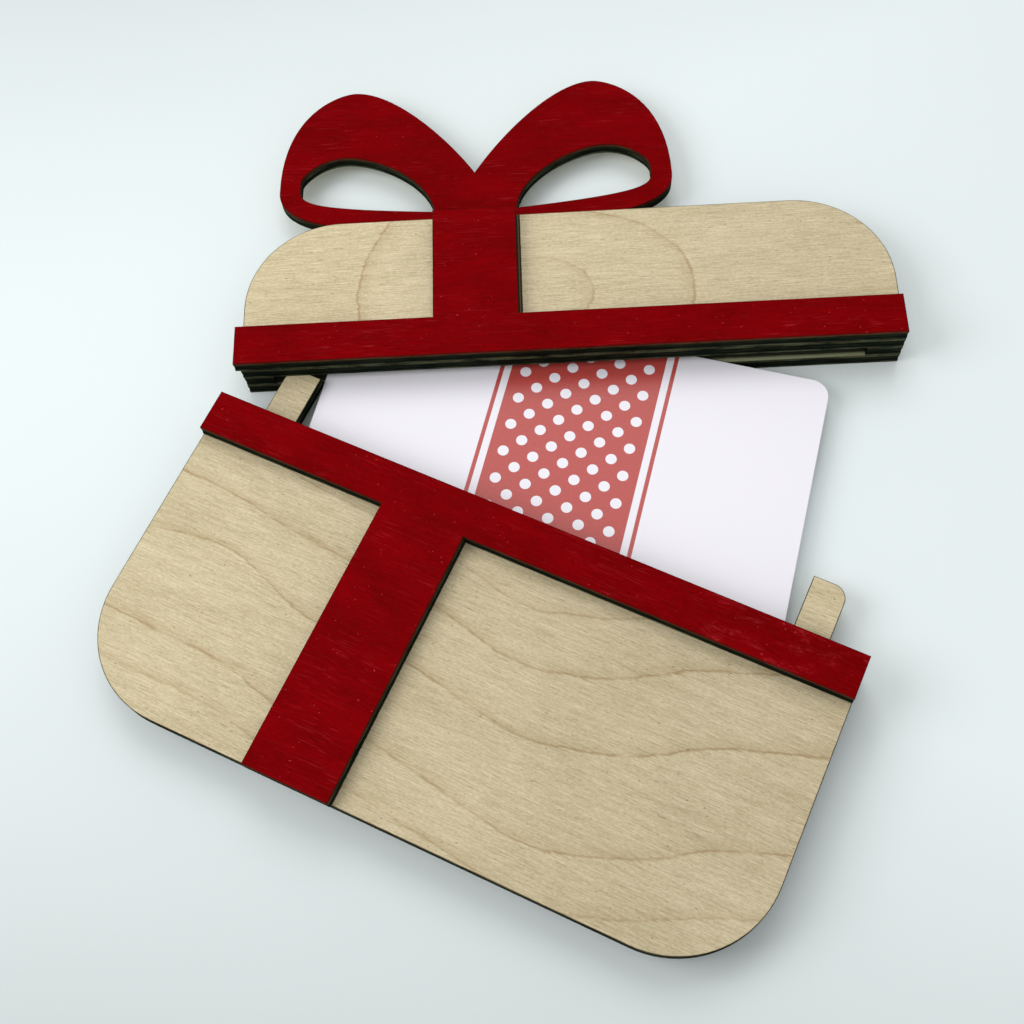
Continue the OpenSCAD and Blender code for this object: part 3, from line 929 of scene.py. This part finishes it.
def plywood_piece(node, half, slot, face, back, slips=0.0):
    """Makes one veneered sheet that stands for a CAD node and rides on its half.

    slips tells how many times the glue slip the sheet stops short: of the base's bottom edge, or of the
    lid's left end, as hand-glued sheets do.
    """
    sheet = bpy.context.scene.card_holder.sheet
    rings = [(share * sheet.scorch_width, singed) for share, singed in SINGE]
    slip = (*HALVES[half], slips * sheet.glue_slip)
    angle = HALVES[half][0][1]
    piece = flat_sheet(node + "_plywood", node, sheet.outline_step, sheet.field_step, rings, slip)
    values = {
        "Plies": sheet.plies,
        "Ply Thickness": SHEET_THICKNESS / sheet.plies,
        "Edge Ease": sheet.edge_ease,
        "Groove Depth": sheet.groove_depth,
        "Core Recess": sheet.core_recess,
        "Underside Height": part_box(node)[0].z,
        "Grain Direction": (math.cos(angle), math.sin(angle), 0.0),
        "Face Material": material(face),
        "Back Material": material(back),
        "Edge Material": material(("red_edge_" if slot.startswith("red") else "birch_edge_") + half),
    }
    stacked(piece, values)
    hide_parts(node)
    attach(piece, half)


class HOLDER_OT_base_sheets(bpy.types.Operator):
    """Make the base's back panel, spacer and front panel in bare birch plywood"""

    bl_idname = "card_holder.base_sheets"
    bl_label = "Base Sheets"

    def execute(self, context):
        for node, face, slips in (
            ("base_back_panel", "birch_base", 2.6),
            ("base_spacer", "birch_base", 1.8),
            ("base_front_panel", "birch_base_front", 1.0),
        ):
            plywood_piece(node, "base", "birch_plywood", face, "birch_base", slips)
        return {"FINISHED"}


class HOLDER_OT_lid_sheets(bpy.types.Operator):
    """Make the lid's back panel, spacer and front panel in bare birch plywood"""

    bl_idname = "card_holder.lid_sheets"
    bl_label = "Lid Sheets"

    def execute(self, context):
        # Faces inside the pocket get the birch with painted shade
        for node, face, back, slips in (
            ("lid_back_panel", "birch_lid_pocket", "birch_lid", 2.5),
            ("lid_spacer", "birch_lid_pocket", "birch_lid_pocket", 2.7),
            ("lid_front_panel", "birch_lid_front", "birch_lid_pocket", 2.5),
        ):
            plywood_piece(node, "lid", "birch_plywood", face, back, slips)
        return {"FINISHED"}


class HOLDER_OT_ribbons(bpy.types.Operator):
    """Make the red stained ribbon overlays of the base and the lid"""

    bl_idname = "card_holder.ribbons"
    bl_label = "Ribbons"

    def execute(self, context):
        for half in ("base", "lid"):
            plywood_piece(half + "_ribbon", half, "red_stained_plywood", "red_" + half, "birch_" + half)
        return {"FINISHED"}


class HOLDER_OT_bow(bpy.types.Operator):
    """Make the red stained bow with its two open loops"""

    bl_idname = "card_holder.bow"
    bl_label = "Bow"

    def execute(self, context):
        plywood_piece("bow", "lid", "red_stained_plywood", "red_lid", "birch_lid")
        return {"FINISHED"}


class HOLDER_OT_card(bpy.types.Operator):
    """Make the printed gift card with eased edges"""

    bl_idname = "card_holder.card"
    bl_label = "Gift Card"

    def execute(self, context):
        settings = context.scene.card_holder
        low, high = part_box("gift_card")
        step = settings.sheet.outline_step
        piece = flat_sheet("gift_card_printed", "gift_card", step, CARD_FIELD_STEP, CARD_RINGS)
        values = {
            "Plies": 1,
            "Ply Thickness": high.z - low.z,
            "Edge Ease": settings.card.edge_ease,
            "Groove Depth": settings.card.edge_ease * CARD_EASE_SLOPE,
            "Core Recess": 0.0,
            "Underside Height": low.z,
            "Grain Direction": (1.0, 0.0, 0.0),
            "Face Material": material("card_front"),
            "Back Material": material("card_back"),
            "Edge Material": material("card_edge"),
        }
        stacked(piece, values)
        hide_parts("gift_card")
        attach(piece, "card")
        return {"FINISHED"}


class HOLDER_OT_stage(bpy.types.Operator):
    """Make the pale table, the soft lights and the camera at the photograph's viewing angle"""

    bl_idname = "card_holder.stage"
    bl_label = "Stage"

    def execute(self, context):
        scene = context.scene
        settings = scene.card_holder.stage
        self.make_floor(scene)
        self.make_lights(scene, settings)
        lens = bpy.data.cameras.new("photo_camera")
        lens.lens = settings.focal_length
        lens.sensor_width = 36
        lens.clip_start = 0.01
        camera = bpy.data.objects.new("photo_camera", lens)
        camera.location = settings.camera_place
        camera.rotation_euler = Euler(settings.camera_turn, "XYZ")
        scene.collection.objects.link(camera)
        scene.camera = camera
        scene.view_settings.view_transform = "Standard"
        return {"FINISHED"}

    def make_floor(self, scene):
        """Square table top, a hair below the wood."""
        half, below = 1.2, -0.02 * MM
        corners = [(half * x, half * y, below) for x, y in ((-1, -1), (1, -1), (1, 1), (-1, 1))]
        mesh = bpy.data.meshes.new("table_top")
        mesh.from_pydata(corners, [], [(0, 1, 2, 3)])
        mesh.materials.append(material("pale_table"))
        floor = bpy.data.objects.new("table_top", mesh)
        scene.collection.objects.link(floor)

    def make_lights(self, scene, settings):
        """Even light from all round and three soft lights that face the holder."""
        world = bpy.data.worlds.new("studio")
        world.use_nodes = True
        sky = world.node_tree.nodes["Background"]
        sky.inputs["Strength"].default_value = settings.sky_strength
        sky.inputs["Color"].default_value = (1, 1, 1, 1)
        scene.world = world
        for name, place, width, power in (
            ("left_light", (-0.269, -0.125, 0.297), 0.25, settings.left_power),
            ("back_light", (-0.189, 0.409, 0.721), 0.5, settings.back_power),
            ("front_light", (0.189, -0.409, 0.721), 0.5, settings.front_power),
        ):
            lamp = bpy.data.lights.new(name, "AREA")
            lamp.size = width
            lamp.energy = power
            light = bpy.data.objects.new(name, lamp)
            light.location = place
            light.rotation_euler = (-Vector(place)).to_track_quat("-Z", "Y").to_euler()
            scene.collection.objects.link(light)


OPERATORS = (
    HOLDER_OT_stage, HOLDER_OT_base_sheets, HOLDER_OT_lid_sheets,
    HOLDER_OT_ribbons, HOLDER_OT_bow, HOLDER_OT_card,
)


class HOLDER_PT_panel(bpy.types.Panel):
    """Sizes, colours and pieces of the gift card holder"""

    bl_idname = "HOLDER_PT_panel"
    bl_label = "Gift Card Holder"
    bl_space_type = "VIEW_3D"
    bl_region_type = "UI"
    bl_category = "Card Holder"

    def draw(self, context):
        settings = context.scene.card_holder
        for operator in OPERATORS:
            self.layout.operator(operator.bl_idname)
        for group in (settings.sheet, settings.colours, settings.card, settings.stage):
            box = self.layout.box()
            for name in group.__annotations__:
                box.prop(group, name)


CLASSES = (
    HolderSheetSettings, HolderColours, HolderCardSettings, HolderStageSettings, HolderSettings,
    *OPERATORS, HOLDER_PT_panel,
)


def register():
    for item in CLASSES:
        bpy.utils.register_class(item)
    bpy.types.Scene.card_holder = PointerProperty(type=HolderSettings)


def unregister():
    del bpy.types.Scene.card_holder
    for item in reversed(CLASSES):
        bpy.utils.unregister_class(item)


def main():
    register()
    make = bpy.ops.card_holder
    make.stage()
    make.base_sheets()
    make.lid_sheets()
    make.ribbons()
    make.bow()
    make.card()


if __name__ == "__main__":
    main()
